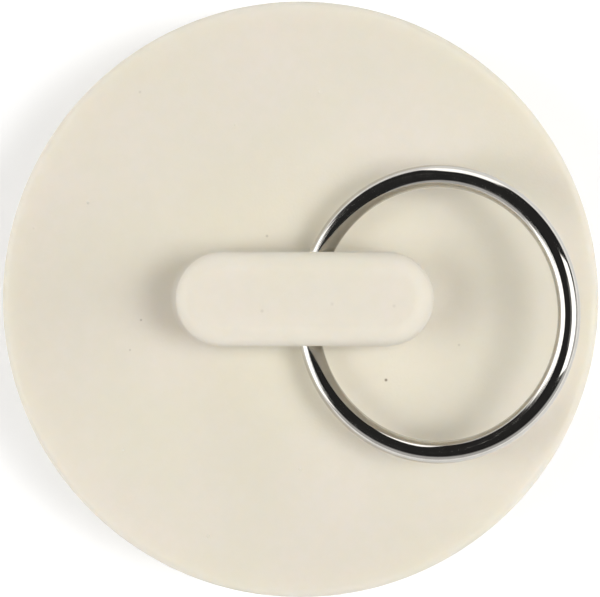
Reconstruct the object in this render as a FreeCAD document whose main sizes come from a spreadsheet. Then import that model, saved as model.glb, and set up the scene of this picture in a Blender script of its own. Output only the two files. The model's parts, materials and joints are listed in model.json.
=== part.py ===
import FreeCAD, Part
import math
import os
import Sketcher

# Rubber drain stopper with a wire pull ring, in millimetres.
# The origin is on the plug's axis at its bottom rim. +Z is up and +X points to the ring's free side.

doc = FreeCAD.newDocument("drain_stopper")
sizes = doc.addObject("Spreadsheet::Sheet", "sizes")

driving_sizes = [
    ("plug_dia", "38.6", "plug, across, under the flange"),
    ("plug_taper", "1.6", "how much closer to the axis the plug's side is at the bottom rim"),
    ("plug_depth", "11", "bottom rim to seat face"),
    ("flange_lip", "2.925", "flange, out past the top of the plug"),
    ("flange_thickness", "2.8", "flange, top face to seat face"),
    ("flange_edge_round", "0.6", "both edges of the flange"),
    ("seat_round", "0.5", "corner between the plug and the flange"),
    ("plug_wall", "4.2", "width of the bottom rim"),
    ("plug_tip_round", "0.8", "both edges of the bottom rim"),
    ("web_thickness", "4.2", "cup ceiling to the flange's top face"),
    ("cup_taper", "1", "how much closer to the axis the cup's wall is at its ceiling"),
    ("cup_round", "2", "corner between the cup's wall and its ceiling"),
    ("lug_length", "18.6", "lug, end to end along X"),
    ("lug_width", "6.8", "lug, side to side along Y"),
    ("lug_crown", "3.9", "rubber between the ring's hole and the top of the lug"),
    ("lug_top_round", "1.5", "top edge of the lug"),
    ("lug_foot_round", "0.5", "corner between the lug and the flange"),
    ("hole_floor", "1.5", "rubber between the flange's top face and the ring's hole"),
    ("hole_offset", "0.6", "axis of the ring's hole, from the lug's middle towards +X"),
    ("hole_mouth_round", "0.35", "both mouths of the ring's hole"),
    ("wire_dia", "1.63", "wire of the ring, across"),
    ("ring_dia", "20", "ring, across, to the middle of the wire"),
    ("ring_tilt", "23", "ring's rise from level at rest, in degrees"),
    ("ring_sideways", "1.1", "ring's middle, from the lug's middle towards -Y"),
    ("wire_clearance", "0.2", "wire to the hole's wall, where the ring pulls towards it"),
    ("hole_play", "0.8", "wire to the hole's wall on the other side"),
    ("seam_gap", "0.12", "between the two ends of the wire, inside the hole"),
]
for row, (alias, value, meaning) in enumerate(driving_sizes, 1):
    sizes.set(f"A{row}", meaning)
    sizes.set(f"B{row}", value)
    sizes.setAlias(f"B{row}", alias)
doc.recompute()

# The bent wire bows as it crosses the lug. The hole is wide enough for the bow, and the ring lies
# towards its free side until the wire's inside has its clearance at the further mouth of the hole.
ring_inside = "(sizes.ring_dia - sizes.wire_dia) / 2"
ring_outside = "(sizes.ring_dia + sizes.wire_dia) / 2"
mouth_from_middle = "sizes.lug_width / 2 + sizes.ring_sideways"
inside_at_mouth = f"sqrt(({ring_inside})^2 - ({mouth_from_middle})^2)"
hole_dia = f"({ring_outside} - {inside_at_mouth} + sizes.wire_clearance + sizes.hole_play)"
ring_reach = f"({hole_dia} / 2 - sizes.wire_clearance + {inside_at_mouth})"

# Heights and radii that several features share.
plug_top_radius = "sizes.plug_dia / 2"
plug_tip_radius = f"{plug_top_radius} - sizes.plug_taper"
flange_radius = f"{plug_top_radius} + sizes.flange_lip"
cup_mouth_radius = f"{plug_tip_radius} - sizes.plug_wall"
cup_top_radius = f"{cup_mouth_radius} - sizes.cup_taper"
seat_height = "sizes.plug_depth"
flange_top = f"{seat_height} + sizes.flange_thickness"
cup_ceiling = f"{flange_top} - sizes.web_thickness"
hole_height = f"{flange_top} + sizes.hole_floor + {hole_dia} / 2"
lug_height = f"sizes.hole_floor + {hole_dia} + sizes.lug_crown"
lug_top = f"{flange_top} + {lug_height}"

# Two places closer than this count as the same place when edges are picked.
same_place = 0.001


def number(expression):
    return float(sizes.evalExpression(expression))


def origin_plane(body, role):
    for feature in body.Origin.OriginFeatures:
        if feature.Role == role:
            return feature
    raise ValueError(f"{body.Label} has no {role}")


def new_sketch(body, name, role):
    sketch = body.newObject("Sketcher::SketchObject", name)
    sketch.AttachmentSupport = [(origin_plane(body, role), "")]
    sketch.MapMode = "FlatFace"
    return sketch


def bind(sketch, expression, *constraint):
    index = sketch.addConstraint(Sketcher.Constraint(*constraint, number(expression)))
    sketch.setExpression(f"Constraints[{index}]", expression)


def draw_section(sketch, corners):
    # A closed outline of straight runs. A corner with no distance across lies on the axis.
    points = [FreeCAD.Vector(number(across or "0"), number(up), 0) for across, up in corners]
    for index, point in enumerate(points):
        sketch.addGeometry(Part.LineSegment(point, points[(index + 1) % len(points)]))
    for index, (across, up) in enumerate(corners):
        previous = (index - 1) % len(corners)
        sketch.addConstraint(Sketcher.Constraint("Coincident", previous, 2, index, 1))
        if across:
            bind(sketch, across, "DistanceX", -1, 1, index, 1)
        else:
            sketch.addConstraint(Sketcher.Constraint("PointOnObject", index, 1, -2))
        if up == "0":
            sketch.addConstraint(Sketcher.Constraint("PointOnObject", index, 1, -1))
        else:
            bind(sketch, up, "DistanceY", -1, 1, index, 1)


def draw_circle(sketch, across, up, diameter):
    middle = FreeCAD.Vector(number(across), number(up), 0)
    sketch.addGeometry(Part.Circle(middle, FreeCAD.Vector(0, 0, 1), number(diameter) / 2))
    bind(sketch, across, "DistanceX", -1, 1, 0, 3)
    bind(sketch, up, "DistanceY", -1, 1, 0, 3)
    bind(sketch, diameter, "Diameter", 0)


def draw_stadium(sketch, length, width):
    # Two half circles joined by two straight sides, centred on the sketch's origin.
    radius = number(width) / 2
    half_run = number(length) / 2 - radius
    quarter = math.pi / 2
    for side in (1, -1):
        middle = FreeCAD.Vector(side * half_run, 0, 0)
        circle = Part.Circle(middle, FreeCAD.Vector(0, 0, 1), radius)
        start = -side * quarter
        sketch.addGeometry(Part.ArcOfCircle(circle, start, start + 2 * quarter))
        run_start = FreeCAD.Vector(side * half_run, side * radius, 0)
        run_end = FreeCAD.Vector(-side * half_run, side * radius, 0)
        sketch.addGeometry(Part.LineSegment(run_start, run_end))
    for piece in range(4):
        sketch.addConstraint(Sketcher.Constraint("Tangent", piece, 2, (piece + 1) % 4, 1))
    sketch.addConstraint(Sketcher.Constraint("Equal", 0, 2))
    sketch.addConstraint(Sketcher.Constraint("Horizontal", 1))
    sketch.addConstraint(Sketcher.Constraint("Symmetric", 0, 3, 2, 3, -1, 1))
    bind(sketch, f"{width} / 2", "Radius", 0)
    bind(sketch, f"({length} - {width}) / 2", "DistanceX", -1, 1, 0, 3)


def level_edges(shape, height, reach):
    # Edges that lie level at a height and reach just so far along X, either way.
    for index, edge in enumerate(shape.Edges, 1):
        box = edge.BoundBox
        level = abs(box.ZMin - number(height)) < same_place and box.ZLength < same_place
        if level and abs(max(box.XMax, -box.XMin) - number(reach)) < same_place:
            yield f"Edge{index}"


def mouth_edges(shape, height, diameter):
    # Round edges of a hole along Y whose axis is at a height.
    for index, edge in enumerate(shape.Edges, 1):
        box = edge.BoundBox
        across_y = box.YLength < same_place and abs(box.Center.z - number(height)) < same_place
        if across_y and abs(box.ZLength - number(diameter)) < same_place:
            yield f"Edge{index}"


def round_edges(body, name, places, radius, pick=level_edges):
    base = body.Tip
    edges = [edge for place in places for edge in pick(base.Shape, *place)]
    if len(edges) < len(places):
        raise ValueError(f"{name} is missing an edge")
    fillet = body.newObject("PartDesign::Fillet", name)
    fillet.Base = (base, edges)
    fillet.setExpression("Radius", radius)
    doc.recompute()


def make_stopper():
    body = doc.addObject("PartDesign::Body", "rubber_stopper")
    body.Label = "rubber_stopper"

    # Flange, tapered plug and hollow underside, turned about the axis.
    section = new_sketch(body, "plug_section", "XZ_Plane")
    draw_section(section, [
        (None, cup_ceiling),
        (cup_top_radius, cup_ceiling),
        (cup_mouth_radius, "0"),
        (plug_tip_radius, "0"),
        (plug_top_radius, seat_height),
        (flange_radius, seat_height),
        (flange_radius, flange_top),
        (None, flange_top),
    ])
    plug = body.newObject("PartDesign::Revolution", "plug")
    plug.Profile = section
    plug.ReferenceAxis = (section, ["V_Axis"])
    plug.Angle = 360
    doc.recompute()

    flange_edges = [(seat_height, flange_radius), (flange_top, flange_radius)]
    round_edges(body, "flange_edges", flange_edges, "sizes.flange_edge_round")
    round_edges(body, "seat_corner", [(seat_height, plug_top_radius)], "sizes.seat_round")
    rim_edges = [("0", plug_tip_radius), ("0", cup_mouth_radius)]
    round_edges(body, "rim_edges", rim_edges, "sizes.plug_tip_round")
    round_edges(body, "cup_corner", [(cup_ceiling, cup_top_radius)], "sizes.cup_round")

    # Lug: a round-ended bar standing on the flange.
    plan = new_sketch(body, "lug_plan", "XY_Plane")
    plan.setExpression("AttachmentOffset.Base.z", flange_top)
    draw_stadium(plan, "sizes.lug_length", "sizes.lug_width")
    lug = body.newObject("PartDesign::Pad", "lug")
    lug.Profile = plan
    lug.setExpression("Length", lug_height)
    doc.recompute()
    straight_reach = "(sizes.lug_length - sizes.lug_width) / 2"
    round_reach = "sizes.lug_length / 2"
    top_edges = [(lug_top, straight_reach), (lug_top, round_reach)]
    round_edges(body, "lug_top", top_edges, "sizes.lug_top_round")
    foot_edges = [(flange_top, straight_reach), (flange_top, round_reach)]
    round_edges(body, "lug_foot", foot_edges, "sizes.lug_foot_round")

    # Hole for the ring, straight through the lug along Y.
    solid = body.Tip.Shape.Volume
    circle = new_sketch(body, "hole_circle", "XZ_Plane")
    draw_circle(circle, "sizes.hole_offset", hole_height, hole_dia)
    hole = body.newObject("PartDesign::Pocket", "ring_hole")
    hole.Profile = circle
    hole.SideType = "Symmetric"
    hole.Type = "ThroughAll"
    doc.recompute()
    if hole.Shape.Volume >= solid:
        raise ValueError("the ring's hole cut nothing")
    round_edges(body, "hole_mouths", [(hole_height, hole_dia)], "sizes.hole_mouth_round", mouth_edges)
    return body


def make_ring():
    body = doc.addObject("PartDesign::Body", "pull_ring")
    body.Label = "pull_ring"

    # Wire turned about the ring's own axis. Its two ends meet at the side that stays in the hole.
    section = new_sketch(body, "wire_section", "XZ_Plane")
    middle = FreeCAD.Vector(-number("sizes.ring_dia") / 2, 0, 0)
    section.addGeometry(Part.Circle(middle, FreeCAD.Vector(0, 0, 1), number("sizes.wire_dia") / 2))
    section.addConstraint(Sketcher.Constraint("PointOnObject", 0, 3, -1))
    bind(section, "sizes.ring_dia / 2", "DistanceX", 0, 3, -1, 1)
    bind(section, "sizes.wire_dia", "Diameter", 0)
    wire = body.newObject("PartDesign::Revolution", "wire")
    wire.Profile = section
    wire.ReferenceAxis = (section, ["V_Axis"])
    wire.setExpression("Angle", "360 - 360 * sizes.seam_gap / (pi * sizes.ring_dia)")

    # The ring's plane holds the hole's axis and rises towards +X.
    body.Placement.Rotation = FreeCAD.Rotation(FreeCAD.Vector(0, -1, 0), number("sizes.ring_tilt"))
    body.setExpression("Placement.Rotation.Angle", "sizes.ring_tilt")
    tilt = "(sizes.ring_tilt * 1 deg)"
    body.setExpression("Placement.Base.x", f"sizes.hole_offset + {ring_reach} * cos({tilt})")
    body.setExpression("Placement.Base.y", "-sizes.ring_sideways")
    body.setExpression("Placement.Base.z", f"{hole_height} + {ring_reach} * sin({tilt})")
    doc.recompute()
    return body


def check(subparts):
    for thing in doc.Objects:
        if "Invalid" in thing.State or "Error" in thing.State:
            raise RuntimeError(f"{thing.Name} failed: {thing.State}")
    for subpart in subparts:
        shape = subpart.Shape
        if shape.isNull() or not shape.isValid() or len(shape.Solids) != 1:
            raise RuntimeError(f"{subpart.Label} is not one valid solid")


subparts = [make_stopper(), make_ring()]
doc.recompute()
check(subparts)
os.makedirs("parts", exist_ok=True)
for subpart in subparts:
    subpart.Shape.exportStep(f"parts/{subpart.Label}.step")
    box = subpart.Shape.optimalBoundingBox()
    print(f"{subpart.Label}: {subpart.Shape.Volume:.1f} mm3, X {box.XMin:.2f} to {box.XMax:.2f}, "
          f"Y {box.YMin:.2f} to {box.YMax:.2f}, Z {box.ZMin:.2f} to {box.ZMax:.2f}")
print(f"ring's hole {number(hole_dia):.3f} mm, ring's middle {number(ring_reach):.3f} mm from its axis")
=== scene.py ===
import json
import math
import bmesh
import bpy
from mathutils import Matrix, Vector

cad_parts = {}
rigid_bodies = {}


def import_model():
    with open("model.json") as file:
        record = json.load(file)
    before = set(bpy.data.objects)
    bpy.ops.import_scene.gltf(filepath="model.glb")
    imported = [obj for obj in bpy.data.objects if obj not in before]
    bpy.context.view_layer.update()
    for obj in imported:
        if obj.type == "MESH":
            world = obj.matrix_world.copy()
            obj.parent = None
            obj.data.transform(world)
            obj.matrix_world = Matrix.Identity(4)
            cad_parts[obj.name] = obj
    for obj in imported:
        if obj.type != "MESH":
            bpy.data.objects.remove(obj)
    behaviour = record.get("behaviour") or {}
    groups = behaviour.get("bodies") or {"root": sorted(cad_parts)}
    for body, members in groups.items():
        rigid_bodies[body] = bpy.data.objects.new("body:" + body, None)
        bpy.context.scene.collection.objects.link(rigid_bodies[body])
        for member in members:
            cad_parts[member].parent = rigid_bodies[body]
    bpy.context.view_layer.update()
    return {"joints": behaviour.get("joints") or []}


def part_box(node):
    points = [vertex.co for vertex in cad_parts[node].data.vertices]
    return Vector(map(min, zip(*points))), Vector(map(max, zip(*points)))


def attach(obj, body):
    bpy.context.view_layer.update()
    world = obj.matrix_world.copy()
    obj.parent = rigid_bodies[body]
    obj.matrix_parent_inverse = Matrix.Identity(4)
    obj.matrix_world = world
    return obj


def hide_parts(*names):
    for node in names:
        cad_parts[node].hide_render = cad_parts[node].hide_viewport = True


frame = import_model()
mm = 0.001
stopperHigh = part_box("rubber_stopper")[1]
ringLow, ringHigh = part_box("pull_ring")
print("frame loaded, stopper", round(stopperHigh.x * 2 / mm, 2), "mm across")


# Camera

cameraSizes = {
    "imageWide": 600,                               # pixels
    "imageHigh": 597,
    "focalPixels": 3512,
    "sensorWide": 36,                               # millimetres
    "place": (-8.5 * mm, -0.75 * mm, 274.8 * mm),
    "aim": (-0.12 * mm, 0.056 * mm, 13.8 * mm),
    "nearest": 10 * mm,                             # anything closer isn't drawn
}


def makeCamera():
    place = Vector(cameraSizes["place"])
    back = (place - Vector(cameraSizes["aim"])).normalized()
    right = Vector((0, 1, 0)).cross(back).normalized()
    turn = Matrix((right, back.cross(right), back)).transposed()
    bpy.ops.object.camera_add(location=place, rotation=turn.to_euler())
    camera = bpy.context.object
    camera.name = "photoCamera"
    camera.data.sensor_width = cameraSizes["sensorWide"]
    camera.data.lens = cameraSizes["focalPixels"] * cameraSizes["sensorWide"] / cameraSizes["imageWide"]
    camera.data.clip_start = cameraSizes["nearest"]
    bpy.context.scene.camera = camera
    return turn


def fromPixel(pixel, height):                       # the place at a height that shows at a pixel
    across = (pixel[0] - cameraSizes["imageWide"] / 2) / cameraSizes["focalPixels"]
    up = (cameraSizes["imageHigh"] / 2 - pixel[1]) / cameraSizes["focalPixels"]
    ray = cameraTurn @ Vector((across, up, -1))
    place = Vector(cameraSizes["place"])
    return place + ray * ((height - place.z) / ray.z)


# Modelling helpers

def clearSelection():
    if bpy.context.object and bpy.context.object.mode != "OBJECT":
        bpy.ops.object.mode_set(mode="OBJECT")
    bpy.ops.object.select_all(action="DESELECT")


def pick(piece, kind, test):                        # picks the open piece's edges or faces by place
    bpy.ops.mesh.select_mode(type={"edges": "EDGE", "faces": "FACE"}[kind])
    bpy.ops.mesh.select_all(action="DESELECT")
    mesh = bmesh.from_edit_mesh(piece.data)
    for part in getattr(mesh, kind):
        if test(part):
            part.select_set(True)
    bmesh.update_edit_mesh(piece.data)


def startLoop(name, corners, radius, place, turn=(0, 0, 0)):
    clearSelection()
    bpy.ops.mesh.primitive_circle_add(vertices=corners, radius=radius, location=place, rotation=turn)
    piece = bpy.context.object
    piece.name = name
    bpy.ops.object.transform_apply(location=True, rotation=True, scale=True)
    bpy.ops.object.mode_set(mode="EDIT")
    bpy.ops.mesh.select_mode(type="EDGE")
    bpy.ops.mesh.select_all(action="SELECT")
    return piece


def pullLoops(profile, centre, axis):               # pulls the picked loop through (radius, along) points
    centre, axis = Vector(centre), Vector(axis)
    radius, along = profile[0]
    for nextRadius, nextAlong in profile[1:]:
        step = axis * (nextAlong - along)
        bpy.ops.mesh.extrude_edges_move(TRANSFORM_OT_translate={"value": step})
        ratio = nextRadius / radius
        grow = [1 + (ratio - 1) * (1 - abs(share)) for share in axis]
        bpy.ops.transform.resize(value=grow, center_override=centre)
        radius, along = nextRadius, nextAlong


def arcPoints(centre, radius, first, last, steps):  # (radius, along) points round an arc, ends included
    points = []
    for step in range(steps + 1):
        angle = math.radians(first + (last - first) * step / steps)
        points.append((centre[0] + radius * math.cos(angle), centre[1] + radius * math.sin(angle)))
    return points


def closePiece():                                   # caps the open ends and turns the faces outwards
    bpy.ops.mesh.select_all(action="SELECT")
    bpy.ops.mesh.fill_holes(sides=0)
    bpy.ops.mesh.select_all(action="SELECT")
    bpy.ops.mesh.normals_make_consistent(inside=False)


def roundLoop(piece, test, size, steps):
    pick(piece, "edges", test)
    bpy.ops.mesh.bevel(offset=size, segments=steps, profile=0.5, affect="EDGES")


def applyModifier(piece, kind, **settings):
    bpy.ops.object.modifier_add(type=kind)
    modifier = piece.modifiers[-1]
    for name, value in settings.items():
        setattr(modifier, name, value)
    bpy.ops.object.modifier_apply(modifier=modifier.name)


def finishPiece(piece, body, material, sharpAngle):
    bpy.ops.object.mode_set(mode="OBJECT")
    bpy.ops.object.shade_smooth_by_angle(angle=math.radians(sharpAngle))
    applyModifier(piece, "WEIGHTED_NORMAL", keep_sharp=True)
    piece.data.materials.clear()
    piece.data.materials.append(material)
    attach(piece, body)


# Shader helpers and effects that several materials share

def addNode(tree, kind, place, **settings):
    node = tree.nodes.new(kind)
    node.location = place
    for name, value in settings.items():
        setattr(node, name, value)
    return node


def newGroup(name, inputs, outputs):
    group = bpy.data.node_groups.new(name, "ShaderNodeTree")
    for title, kind, start in inputs:
        socket = group.interface.new_socket(title, in_out="INPUT", socket_type=kind)
        if start is not None:
            socket.default_value = start
    for title, kind in outputs:
        group.interface.new_socket(title, in_out="OUTPUT", socket_type=kind)
    entry = addNode(group, "NodeGroupInput", (-700, 0))
    result = addNode(group, "NodeGroupOutput", (500, 0))
    return group, entry, result


def makePatchTone():                                # soft uneven patches between two values
    group, entry, result = newGroup("patchTone", [
        ("Vector", "NodeSocketVector", None), ("Scale", "NodeSocketFloat", 100.0),
        ("Detail", "NodeSocketFloat", 3.0), ("Low", "NodeSocketFloat", 0.0),
        ("High", "NodeSocketFloat", 1.0)], [("Value", "NodeSocketFloat")])
    noiseLow, noiseHigh = 0.3, 0.7                  # the middle of the noise fills the whole range
    noise = addNode(group, "ShaderNodeTexNoise", (-400, 0))
    spread = addNode(group, "ShaderNodeMapRange", (-100, 0), interpolation_type="SMOOTHSTEP")
    spread.inputs["From Min"].default_value = noiseLow
    spread.inputs["From Max"].default_value = noiseHigh
    link = group.links.new
    link(entry.outputs["Vector"], noise.inputs["Vector"])
    link(entry.outputs["Scale"], noise.inputs["Scale"])
    link(entry.outputs["Detail"], noise.inputs["Detail"])
    link(noise.outputs["Fac"], spread.inputs["Value"])
    link(entry.outputs["Low"], spread.inputs["To Min"])
    link(entry.outputs["High"], spread.inputs["To Max"])
    link(spread.outputs["Result"], result.inputs["Value"])
    return group


def makeFineScuff():                                # thin broken lines along the vector's first axis
    group, entry, result = newGroup("fineScuff", [
        ("Vector", "NodeSocketVector", None), ("Along", "NodeSocketFloat", 200.0),
        ("Across", "NodeSocketFloat", 4000.0), ("Amount", "NodeSocketFloat", 1.0)],
        [("Mask", "NodeSocketFloat")])
    parts = addNode(group, "ShaderNodeSeparateXYZ", (-540, 100))
    ready = addNode(group, "ShaderNodeCombineXYZ", (-220, 100))
    link = group.links.new
    link(entry.outputs["Vector"], parts.inputs["Vector"])
    for axis, rate in (("X", "Along"), ("Y", "Across"), ("Z", "Across")):
        scaled = addNode(group, "ShaderNodeMath", (-380, 100), operation="MULTIPLY")
        link(parts.outputs[axis], scaled.inputs[0])
        link(entry.outputs[rate], scaled.inputs[1])
        link(scaled.outputs["Value"], ready.inputs[axis])
    noise = addNode(group, "ShaderNodeTexNoise", (-60, 100))
    noise.inputs["Scale"].default_value = 1.0
    noise.inputs["Detail"].default_value = 2.0
    lineLow, lineHigh = 0.6, 0.72                   # only the noise's peaks make a line
    thin = addNode(group, "ShaderNodeMapRange", (120, 100), interpolation_type="SMOOTHSTEP")
    thin.inputs["From Min"].default_value = lineLow
    thin.inputs["From Max"].default_value = lineHigh
    scale = addNode(group, "ShaderNodeMath", (300, 100), operation="MULTIPLY")
    link(ready.outputs["Vector"], noise.inputs["Vector"])
    link(noise.outputs["Fac"], thin.inputs["Value"])
    link(thin.outputs["Result"], scale.inputs[0])
    link(entry.outputs["Amount"], scale.inputs[1])
    link(scale.outputs["Value"], result.inputs["Mask"])
    return group


def makeRoundMark():                                # one soft spot at a place
    group, entry, result = newGroup("roundMark", [
        ("Vector", "NodeSocketVector", None), ("Place", "NodeSocketVector", None),
        ("Size", "NodeSocketFloat", 0.001), ("Depth", "NodeSocketFloat", 1.0)],
        [("Mask", "NodeSocketFloat")])
    apart = addNode(group, "ShaderNodeVectorMath", (-400, 0), operation="DISTANCE")
    fade = addNode(group, "ShaderNodeMapRange", (-100, 0), interpolation_type="SMOOTHSTEP")
    fade.inputs["From Min"].default_value = 0.0
    fade.inputs["To Max"].default_value = 0.0
    link = group.links.new
    link(entry.outputs["Vector"], apart.inputs[0])
    link(entry.outputs["Place"], apart.inputs[1])
    link(apart.outputs["Value"], fade.inputs["Value"])
    link(entry.outputs["Size"], fade.inputs["From Max"])
    link(entry.outputs["Depth"], fade.inputs["To Min"])
    link(fade.outputs["Result"], result.inputs["Mask"])
    return group


def placeGroup(tree, group, place, vector, **values):
    node = addNode(tree, "ShaderNodeGroup", place, node_tree=group)
    tree.links.new(vector, node.inputs["Vector"])
    for title, value in values.items():
        node.inputs[title].default_value = value
    return node


def newMaterial(name):
    material = bpy.data.materials.new(name)
    material.use_nodes = True
    tree = material.node_tree
    return material, tree, tree.nodes["Principled BSDF"]


def mixColour(tree, place, factor, first, second):
    node = addNode(tree, "ShaderNodeMix", place, data_type="RGBA")
    tree.links.new(factor, node.inputs["Factor"])
    for socket, value in ((node.inputs[6], first), (node.inputs[7], second)):
        if isinstance(value, bpy.types.NodeSocket):
            tree.links.new(value, socket)
        else:
            socket.default_value = (*value, 1)
    return node.outputs[2]


# Cream rubber

rubberLook = {
    "cream": (0.775, 0.732, 0.618),
    "pinkCream": (0.792, 0.739, 0.652),
    "shadeCream": (0.748, 0.706, 0.586),
    "fleckBrown": (0.16, 0.12, 0.07),
    "patchScale": 95.0,                             # patches to the metre
    "mottleScale": 900.0,
    "grainScale": 5200.0,
    "waveScale": 260.0,
    "waveHeight": 3.0,                              # beside a grain height of 1
    "bumpStrength": 0.25,
    "bumpDepth": 0.01 * mm,
    "glossScale": 420.0,
    "glossRange": (0.50, 0.62),                     # roughness
    "shine": 0.4,
    "depthShare": 0.7,                              # how much of the light goes into the rubber
    "depth": 1.8 * mm,
    "depthTint": (1.0, 0.88, 0.70),
    "flecks": [                                     # pixel, size in millimetres, depth, on the lug
        ((386, 380), 0.17, 1.0, False),
        ((141, 320), 0.13, 0.5, False),
        ((130, 350), 0.12, 0.35, False),
        ((267, 236), 0.16, 0.35, False),
        ((88, 203), 0.16, 0.3, False),
        ((459, 345), 0.14, 0.25, False),
        ((140, 92), 0.16, 0.2, False),
        ((262, 311), 0.2, 0.16, True),
        ((332, 304), 0.2, 0.12, True),
        ((394, 306), 0.2, 0.14, True),
    ],
}


def makeRubber():
    material, tree, shader = newMaterial("creamRubber")
    link = tree.links.new
    place = addNode(tree, "ShaderNodeTexCoord", (-1700, 0)).outputs["Object"]
    patches = placeGroup(tree, patchTone, (-1400, 300), place, Scale=rubberLook["patchScale"],
                         Detail=2.0)
    colour = mixColour(tree, (-1100, 300), patches.outputs["Value"],
                       rubberLook["cream"], rubberLook["pinkCream"])
    mottle = placeGroup(tree, patchTone, (-1400, 60), place, Scale=rubberLook["mottleScale"],
                        Detail=4.0, High=0.3)
    colour = mixColour(tree, (-900, 300), mottle.outputs["Value"], colour, rubberLook["shadeCream"])
    for pixel, size, depth, onLug in rubberLook["flecks"]:
        spot = fromPixel(pixel, stopperHigh.z if onLug else flangeTop)
        mark = placeGroup(tree, roundMark, (-1100, -100), place, Place=spot, Size=size * mm, Depth=depth)
        colour = mixColour(tree, (-700, 200), mark.outputs["Mask"], colour, rubberLook["fleckBrown"])
    link(colour, shader.inputs["Base Color"])

    smooth, dull = rubberLook["glossRange"]
    gloss = placeGroup(tree, patchTone, (-700, -200), place, Scale=rubberLook["glossScale"],
                       Detail=4.0, Low=smooth, High=dull)
    link(gloss.outputs["Value"], shader.inputs["Roughness"])
    grain = placeGroup(tree, patchTone, (-1100, -500), place, Scale=rubberLook["grainScale"], Detail=3.0)
    waves = placeGroup(tree, patchTone, (-1100, -750), place, Scale=rubberLook["waveScale"],
                       Detail=1.0, High=rubberLook["waveHeight"])
    height = addNode(tree, "ShaderNodeMath", (-800, -600), operation="ADD")
    link(grain.outputs["Value"], height.inputs[0])
    link(waves.outputs["Value"], height.inputs[1])
    bump = addNode(tree, "ShaderNodeBump", (-500, -600))
    bump.inputs["Strength"].default_value = rubberLook["bumpStrength"]
    bump.inputs["Distance"].default_value = rubberLook["bumpDepth"]
    link(height.outputs["Value"], bump.inputs["Height"])
    link(bump.outputs["Normal"], shader.inputs["Normal"])
    shader.inputs["Specular IOR Level"].default_value = rubberLook["shine"]
    shader.inputs["Subsurface Weight"].default_value = rubberLook["depthShare"]
    shader.inputs["Subsurface Radius"].default_value = rubberLook["depthTint"]
    shader.inputs["Subsurface Scale"].default_value = rubberLook["depth"]
    return material


# Bright plated wire

wireLook = {
    "plate": (0.56, 0.54, 0.505),
    "dullPlate": (0.46, 0.44, 0.405),
    "cloudScale": 900.0,
    "drawnAlong": 90.0,                             # lines to the metre along the wire and across it
    "drawnAcross": 9000.0,
    "drawnRough": 0.12,                             # how much rougher those lines are
    "glossScale": 1600.0,
    "glossRange": (0.06, 0.12),                     # roughness
    "bumpStrength": 0.15,
    "bumpDepth": 0.004 * mm,
}


def makePlate():
    material, tree, shader = newMaterial("brightPlate")
    link = tree.links.new
    path = addNode(tree, "ShaderNodeAttribute", (-1500, 0), attribute_name="wirePath").outputs["Vector"]
    cloud = placeGroup(tree, patchTone, (-1100, 300), path, Scale=wireLook["cloudScale"],
                       Detail=5.0, High=0.5)
    colour = mixColour(tree, (-700, 300), cloud.outputs["Value"],
                       wireLook["plate"], wireLook["dullPlate"])
    link(colour, shader.inputs["Base Color"])
    drawn = placeGroup(tree, fineScuff, (-1100, -100), path, Along=wireLook["drawnAlong"],
                       Across=wireLook["drawnAcross"], Amount=1.0)
    smooth, dull = wireLook["glossRange"]
    gloss = placeGroup(tree, patchTone, (-1100, -350), path, Scale=wireLook["glossScale"],
                       Detail=4.0, Low=smooth, High=dull)
    rough = addNode(tree, "ShaderNodeMath", (-700, -200), operation="MULTIPLY_ADD")
    rough.inputs[1].default_value = wireLook["drawnRough"]
    link(drawn.outputs["Mask"], rough.inputs[0])
    link(gloss.outputs["Value"], rough.inputs[2])
    link(rough.outputs["Value"], shader.inputs["Roughness"])
    bump = addNode(tree, "ShaderNodeBump", (-500, -600))
    bump.inputs["Strength"].default_value = wireLook["bumpStrength"]
    bump.inputs["Distance"].default_value = wireLook["bumpDepth"]
    link(drawn.outputs["Mask"], bump.inputs["Height"])
    link(bump.outputs["Normal"], shader.inputs["Normal"])
    shader.inputs["Metallic"].default_value = 1.0
    return material


# Rubber moulding: flange, hollow plug and lug in one

stopperSizes = {                                    # metres
    "around": 192,                                  # corners of a turned loop
    "partingLine": 0.03 * mm,                       # ridge left by the mould round the flange
    "partingHalf": 0.07 * mm,
    "plugDepth": 11 * mm,
    "flangeThickness": 2.8 * mm,
    "plugTop": 19.3 * mm,                           # radii
    "plugTip": 17.7 * mm,
    "cupMouth": 13.5 * mm,
    "cupTop": 12.5 * mm,
    "cupCeiling": 9.6 * mm,
    "gateMark": 1.6 * mm,
    "gateRise": 0.25 * mm,
    "gateTaper": 0.8,                               # its tip's share of its foot
    "flangeRound": 0.6 * mm,
    "seatRound": 0.45 * mm,
    "tipRound": 0.7 * mm,
    "cupRound": 1.9 * mm,
    "roundSteps": 6,
    "topCuts": 10,                                  # loops across the flange's top
    "lugLength": 18.6 * mm,
    "lugWidth": 6.8 * mm,
    "lugCornerSteps": 32,
    "lugSideCuts": 31,
    "lugTopRound": 1.5 * mm,
    "lugFootRound": 0.5 * mm,
    "lugSteps": 8,
    "holeRadius": 1.904 * mm,
    "holeMouth": 0.35 * mm,
    "holeCorners": 96,
    "holeSteps": 6,
    "near": 0.002 * mm,                             # places closer than this count as one
    "sharpAngle": 40,                               # degrees, edges steeper than this stay sharp
}
flangeTop = stopperSizes["plugDepth"] + stopperSizes["flangeThickness"]
holeAxis = Vector(frame["joints"][0]["pos_m"])


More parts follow.
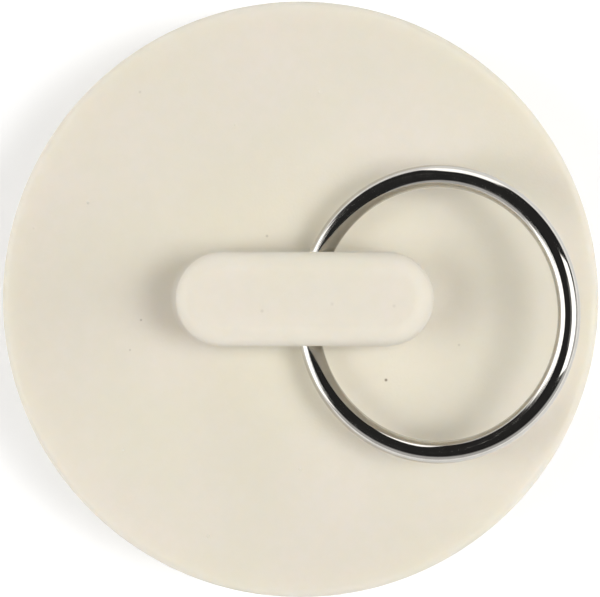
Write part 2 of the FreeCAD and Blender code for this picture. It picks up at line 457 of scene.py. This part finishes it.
def pullLug(body, profile):                         # raises the lug's loop through (radius, height) points
    s = stopperSizes
    half = (s["lugLength"] - s["lugWidth"]) / 2     # to the middle of each round end
    radius, height = profile[0]
    for nextRadius, nextHeight in profile[1:]:
        grow = nextRadius / radius
        pick(body, "edges", lambda e: e.is_boundary)
        bpy.ops.mesh.extrude_edges_move(TRANSFORM_OT_translate={"value": (0, 0, nextHeight - height)})
        bpy.ops.transform.resize(value=(1, grow, 1), center_override=(0, 0, 0))
        for way in (1, -1):
            onEnd = half - s["near"]
            pick(body, "edges", lambda e: e.is_boundary and all(v.co.x * way > onEnd for v in e.verts))
            bpy.ops.transform.resize(value=(grow, 1, 1), center_override=(way * half, 0, 0))
        radius, height = nextRadius, nextHeight


def onTurnedLoop(radius, height):
    near = stopperSizes["near"]

    def test(edge):
        return all(abs(v.co.xy.length - radius) < near and abs(v.co.z - height) < near
                   for v in edge.verts)
    return test


def makeHoleCutter():
    s = stopperSizes
    wall = s["lugWidth"] / 2 + s["near"]
    mouth = s["holeRadius"] + s["holeMouth"]
    flare = arcPoints((mouth, wall - s["holeMouth"]), s["holeMouth"], 90, 180, s["holeSteps"])
    oneSide = [(mouth, wall + s["holeMouth"])] + flare
    profile = [(radius, -along) for radius, along in oneSide] + oneSide[::-1]
    start = Vector((holeAxis.x, profile[0][1], holeAxis.z))
    cutter = startLoop("holeCutter", s["holeCorners"], profile[0][0], start, (math.radians(90), 0, 0))
    pullLoops(profile, (holeAxis.x, 0, holeAxis.z), (0, 1, 0))
    closePiece()
    bpy.ops.object.mode_set(mode="OBJECT")
    return cutter


# Pips that the mould left on the rubber

pipSizes = {
    "corners": 24,
    "radius": 0.17 * mm,
    "rise": 0.06 * mm,
    "sunk": 0.02 * mm,                              # into the rubber
    "steps": 5,
    "places": [                                     # pixel, share of full size
        ((320, 92), 1.0),
        ((88, 202), 0.9),
        ((300, 469), 0.8),
        ((208, 536), 0.8),
        ((123, 450), 0.7),
        ((235, 125), 0.6),
        ((34, 228), 0.6),
    ],
}


def makePips():
    p = pipSizes
    dome = [(p["radius"], -p["sunk"])]
    for step in range(p["steps"]):
        angle = math.radians(90) * step / p["steps"]
        dome.append((p["radius"] * math.cos(angle), p["rise"] * math.sin(angle)))
    first = startLoop("mouldPip", p["corners"], p["radius"], (0, 0, -p["sunk"]))
    pullLoops(dome, (0, 0, 0), (0, 0, 1))
    closePiece()
    clearSelection()
    first.select_set(True)
    for pixel, share in p["places"]:
        bpy.ops.object.duplicate(linked=False)
        copy = bpy.context.object
        copy.location = fromPixel(pixel, flangeTop)
        copy.scale = (share, share, share)
        bpy.ops.object.transform_apply(location=True, rotation=True, scale=True)
        clearSelection()
        first.select_set(True)
        bpy.context.view_layer.objects.active = first
    bpy.data.objects.remove(first)
    copies = [piece for piece in bpy.data.objects if piece.name.startswith("mouldPip")]
    for copy in copies:
        copy.select_set(True)
    bpy.context.view_layer.objects.active = copies[0]
    bpy.ops.object.join()
    print("pips set,", len(copies))
    return bpy.context.object


# The moulding itself

def makeStopper():
    s = stopperSizes
    edge = stopperHigh.x
    wall = edge - s["partingLine"]
    partLine = s["plugDepth"] + s["flangeThickness"] / 2
    body = startLoop("moulded_stopper", s["around"], wall, (0, 0, flangeTop))
    bpy.ops.mesh.select_all(action="DESELECT")
    foot = s["lugFootRound"]
    footWidth = s["lugWidth"] + 2 * foot
    bpy.ops.mesh.primitive_plane_add(size=footWidth, location=(0, 0, flangeTop))
    stretch = (s["lugLength"] + 2 * foot) / footWidth
    bpy.ops.transform.resize(value=(stretch, 1, 1), center_override=(0, 0, flangeTop))
    bpy.ops.mesh.bevel(offset=footWidth / 2, segments=s["lugCornerSteps"], affect="VERTICES")
    bpy.ops.mesh.remove_doubles(threshold=s["near"])
    bpy.ops.mesh.delete(type="ONLY_FACE")
    longEdge = s["lugLength"] / 4
    pick(body, "edges", lambda e: e.calc_length() > longEdge)
    bpy.ops.mesh.subdivide(number_cuts=s["lugSideCuts"])
    bpy.ops.mesh.select_all(action="SELECT")
    bpy.ops.mesh.bridge_edge_loops(number_cuts=s["topCuts"], interpolation="LINEAR")
    print("flange top laid out round the lug's foot")

    pick(body, "edges", lambda e: e.is_boundary and onTurnedLoop(wall, flangeTop)(e))
    pullLoops([
        (wall, flangeTop),
        (wall, partLine + s["partingHalf"]),
        (edge, partLine),
        (wall, partLine - s["partingHalf"]),
        (wall, s["plugDepth"]),
        (s["plugTop"], s["plugDepth"]),
        (s["plugTip"], 0),
        (s["cupMouth"], 0),
        (s["cupTop"], s["cupCeiling"]),
        (s["gateMark"], s["cupCeiling"]),
        (s["gateMark"] * s["gateTaper"], s["cupCeiling"] - s["gateRise"]),
    ], (0, 0, 0), (0, 0, 1))
    bpy.ops.mesh.edge_face_add()                    # closes the cup at the gate mark
    print("plug turned,", s["around"], "corners round")

    side, top = s["lugWidth"] / 2, s["lugTopRound"]
    pullLug(body, arcPoints((side + foot, flangeTop + foot), foot, 270, 180, s["lugSteps"])
            + arcPoints((side - top, stopperHigh.z - top), top, 0, 90, s["lugSteps"]))
    closePiece()

    turned = [
        (wall, flangeTop, "flangeRound"),
        (wall, s["plugDepth"], "flangeRound"),
        (s["plugTop"], s["plugDepth"], "seatRound"),
        (s["plugTip"], 0, "tipRound"),
        (s["cupMouth"], 0, "tipRound"),
        (s["cupTop"], s["cupCeiling"], "cupRound"),
    ]
    for radius, height, size in turned:
        roundLoop(body, onTurnedLoop(radius, height), s[size], s["roundSteps"])
    print("lug raised and edges rounded")

    for tool, operation in ((makeHoleCutter(), "DIFFERENCE"), (makePips(), "UNION")):
        clearSelection()
        bpy.context.view_layer.objects.active = body
        body.select_set(True)
        applyModifier(body, "BOOLEAN", object=tool, operation=operation, solver="EXACT")
        bpy.data.objects.remove(tool)
    finishPiece(body, "stopper", creamRubber, s["sharpAngle"])
    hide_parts("rubber_stopper")
    print("stopper finished,", len(body.data.polygons), "faces")
    return body


# Wire ring, bent round with its ends meeting inside the lug

ringSizes = {
    "wire": 1.63 * mm,
    "seam": 0.12 * mm,
    "around": 40,                                   # corners round the wire
    "steps": 300,                                   # along the ring
    "near": 0.0005 * mm,                            # places closer than this count as one
    "sharpAngle": 50,                               # degrees, edges steeper than this stay sharp
}


def makeRing():
    s = ringSizes
    wireRadius = s["wire"] / 2
    size = ringHigh - ringLow
    middle = (ringHigh + ringLow) / 2
    radius = size.y / 2 - wireRadius
    tilt = math.asin((size.z / 2 - wireRadius) / radius)
    outward = Vector((math.cos(tilt), 0, math.sin(tilt)))
    axis = Vector((-math.sin(tilt), 0, math.cos(tilt)))
    gap = s["seam"] / radius
    start = Matrix.Rotation(math.pi + gap / 2, 3, axis) @ outward
    tangent = axis.cross(start)
    turn = Matrix((axis, start, tangent)).transposed().to_euler()
    ring = startLoop("wire_ring", s["around"], wireRadius, middle + start * radius, turn)
    bpy.ops.mesh.spin(steps=s["steps"], angle=2 * math.pi - gap, center=middle, axis=axis)
    bpy.ops.mesh.select_all(action="SELECT")
    bpy.ops.mesh.remove_doubles(threshold=s["near"])
    closePiece()
    bpy.ops.object.mode_set(mode="OBJECT")
    path = ring.data.attributes.new("wirePath", "FLOAT_VECTOR", "POINT")
    for number, vertex in enumerate(ring.data.vertices):   # the wire's own length and section
        out = vertex.co - middle
        rise = out.dot(axis)
        flat = out - axis * rise
        angle = math.atan2(flat.dot(axis.cross(outward)), flat.dot(outward))
        path.data[number].vector = (angle * radius, flat.length - radius, rise)
    finishPiece(ring, "ring", brightPlate, s["sharpAngle"])
    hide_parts("pull_ring")
    print("ring bent, tilt", round(math.degrees(tilt), 2), "degrees")
    return ring


# Floor, lamps and surroundings

studio = {
    "floorSize": 6.0,
    "floorWhite": 0.86,
    "floorFade": 0.99,                              # the floor's darker patches
    "floorPatchScale": 300.0,
    "floorRough": 0.8,
    "floorLift": 0.26,                              # white that only the camera and the wire see
    "farFloor": (0.08, 0.40),                       # metres out, between which that grows to full white
    "lampDistance": 0.6,
    # name, degrees off vertical, way round, degrees across and deep, share of the light
    "lights": [
        ("keySoftbox", 16, -4, 13, 15, 0.31),
        ("keySpill", 28, -4, 16, 18, 0.12),
        ("leftFill", 26, 186, 16, 18, 0.20),
        ("leftSpill", 45, 186, 20, 24, 0.08),
        ("rightSide", 66, 0, 16, 44, 0.12),
        ("leftSide", 68, 180, 16, 30, 0.05),
        ("overheadPanel", 5, 180, 50, 50, 0.07),
    ],
    # name, degrees off vertical, way round, degrees across and deep, brightness in the wire
    "glints": [
        ("rightGlint", 45, -1, 40, 56, 2.4),
        ("rightGlow", 17, 0, 16, 24, 0.2),
        ("leftGlint", 52, 180, 10, 9, 2.4),
        ("leftMiddleGlint", 63, 180, 12, 22, 2.4),
        ("leftLowGlint", 78, 180, 18, 42, 2.4),
    ],
    "room": 0.03,                                   # brightness round the lamps
    "backdrop": 1.0,
    "backdropTop": (0.13, 0.09),                    # heights as parts of 1, where each one fades
    "frontWall": 0.65,
    "frontTop": (0.55, 0.40),
    "frontSide": (0.35, 0.05),
    "backCard": 2.2,
    "cardTop": (0.48, 0.40),
    "cardLeft": (-0.50, -0.44),
    "cardRight": (0.40, 0.26),
    "cardSlant": 0.9,                               # how far its right edge leans in as it rises
}


def makeFloor():
    clearSelection()
    bpy.ops.mesh.primitive_plane_add(size=studio["floorSize"], location=(0, 0, 0))
    floor = bpy.context.object
    floor.name = "paleFloor"
    material, tree, shader = newMaterial("paleFloor")
    link = tree.links.new
    place = addNode(tree, "ShaderNodeTexCoord", (-900, 0)).outputs["Object"]
    pale = studio["floorWhite"]
    tone = placeGroup(tree, patchTone, (-700, 0), place, Scale=studio["floorPatchScale"])
    colour = mixColour(tree, (-400, 0), tone.outputs["Value"],
                       (pale,) * 3, (pale * studio["floorFade"],) * 3)
    link(colour, shader.inputs["Base Color"])
    shader.inputs["Roughness"].default_value = studio["floorRough"]
    light = addNode(tree, "ShaderNodeLightPath", (-900, -300))
    seen = light.outputs["Is Camera Ray"]
    for ray in ("Is Glossy Ray", "Is Transmission Ray"):
        either = addNode(tree, "ShaderNodeMath", (-600, -300), operation="MAXIMUM")
        link(seen, either.inputs[0])
        link(light.outputs[ray], either.inputs[1])
        seen = either.outputs["Value"]
    reach = addNode(tree, "ShaderNodeVectorMath", (-700, -600), operation="LENGTH")
    link(place, reach.inputs[0])
    white = addNode(tree, "ShaderNodeMapRange", (-450, -600), interpolation_type="SMOOTHSTEP")
    white.inputs["From Min"].default_value = studio["farFloor"][0]
    white.inputs["From Max"].default_value = studio["farFloor"][1]
    white.inputs["To Min"].default_value = studio["floorLift"]
    link(reach.outputs["Value"], white.inputs["Value"])
    link(overlap(tree, seen, white.outputs["Result"]), shader.inputs["Emission Strength"])
    shader.inputs["Emission Color"].default_value = (1, 1, 1, 1)
    floor.data.materials.append(material)


def hangLamp(name, lean, way, across, deep):        # a panel that faces the stopper's top
    distance = studio["lampDistance"]
    lean, way = math.radians(lean), math.radians(way)
    out = Vector((math.sin(lean) * math.cos(way), math.sin(lean) * math.sin(way), math.cos(lean)))
    right = Vector((0, 1, 0)).cross(out).normalized()
    turn = Matrix((right, out.cross(right), out)).transposed().to_euler()
    place = Vector((0, 0, flangeTop)) + out * distance
    bpy.ops.object.light_add(type="AREA", location=place, rotation=turn)
    lamp = bpy.context.object
    lamp.name = name
    lamp.data.shape = "RECTANGLE"
    lamp.data.size = 2 * distance * math.tan(math.radians(across / 2))
    lamp.data.size_y = 2 * distance * math.tan(math.radians(deep / 2))
    lamp.visible_camera = False
    return lamp


def makeLamps():
    for name, lean, way, across, deep, share in studio["lights"]:
        lamp = hangLamp(name, lean, way, across, deep)
        lamp.data.energy = share * (math.pi * studio["lampDistance"]) ** 2 / math.cos(math.radians(lean))
        lamp.visible_glossy = False
    for name, lean, way, across, deep, brightness in studio["glints"]:
        lamp = hangLamp(name, lean, way, across, deep)
        lamp.data.energy = brightness * math.pi * lamp.data.size * lamp.data.size_y
        lamp.visible_diffuse = False


def fadeBetween(tree, value, limits):               # 0 at the first limit, 1 at the second
    fade = addNode(tree, "ShaderNodeMapRange", (-800, 0), interpolation_type="SMOOTHSTEP")
    fade.inputs["From Min"].default_value = limits[0]
    fade.inputs["From Max"].default_value = limits[1]
    tree.links.new(value, fade.inputs["Value"])
    return fade.outputs["Result"]


def overlap(tree, *masks):
    shared = masks[0]
    for mask in masks[1:]:
        both = addNode(tree, "ShaderNodeMath", (-600, 0), operation="MULTIPLY")
        tree.links.new(shared, both.inputs[0])
        tree.links.new(mask, both.inputs[1])
        shared = both.outputs["Value"]
    return shared


def makeWorld():
    world = bpy.data.worlds.new("paleStudio")
    bpy.context.scene.world = world
    world.use_nodes = True
    tree = world.node_tree
    direction = addNode(tree, "ShaderNodeTexCoord", (-1500, 0)).outputs["Generated"]
    parts = addNode(tree, "ShaderNodeSeparateXYZ", (-1300, 0))
    tree.links.new(direction, parts.inputs["Vector"])
    side, back, up = (parts.outputs[axis] for axis in "XYZ")
    s = studio

    front = overlap(tree, fadeBetween(tree, up, s["frontTop"]), fadeBetween(tree, back, s["frontSide"]))
    colour = mixColour(tree, (-300, 200), front, (s["room"],) * 3, (s["frontWall"],) * 3)
    leaning = addNode(tree, "ShaderNodeMath", (-1000, -300), operation="MULTIPLY_ADD")
    leaning.inputs[1].default_value = s["cardSlant"]
    tree.links.new(up, leaning.inputs[0])
    tree.links.new(side, leaning.inputs[2])
    behind = addNode(tree, "ShaderNodeMath", (-1000, -500), operation="GREATER_THAN")
    behind.inputs[1].default_value = 0.0
    tree.links.new(back, behind.inputs[0])
    card = overlap(tree, behind.outputs["Value"], fadeBetween(tree, up, s["cardTop"]),
                   fadeBetween(tree, side, s["cardLeft"]),
                   fadeBetween(tree, leaning.outputs["Value"], s["cardRight"]))
    colour = mixColour(tree, (-150, 200), card, colour, (s["backCard"],) * 3)
    low = fadeBetween(tree, up, s["backdropTop"])
    brightest = addNode(tree, "ShaderNodeMix", (0, 200), data_type="RGBA", blend_type="LIGHTEN")
    tree.links.new(low, brightest.inputs["Factor"])
    tree.links.new(colour, brightest.inputs[6])
    brightest.inputs[7].default_value = (*(s["backdrop"],) * 3, 1)
    tree.links.new(brightest.outputs[2], tree.nodes["Background"].inputs["Color"])


bpy.context.scene.view_settings.view_transform = "Standard"
clearSelection()
cameraTurn = makeCamera()
patchTone = makePatchTone()
fineScuff = makeFineScuff()
roundMark = makeRoundMark()
creamRubber = makeRubber()
brightPlate = makePlate()
print("materials ready")
makeStopper()
makeRing()
makeFloor()
makeLamps()
makeWorld()
print("studio set")
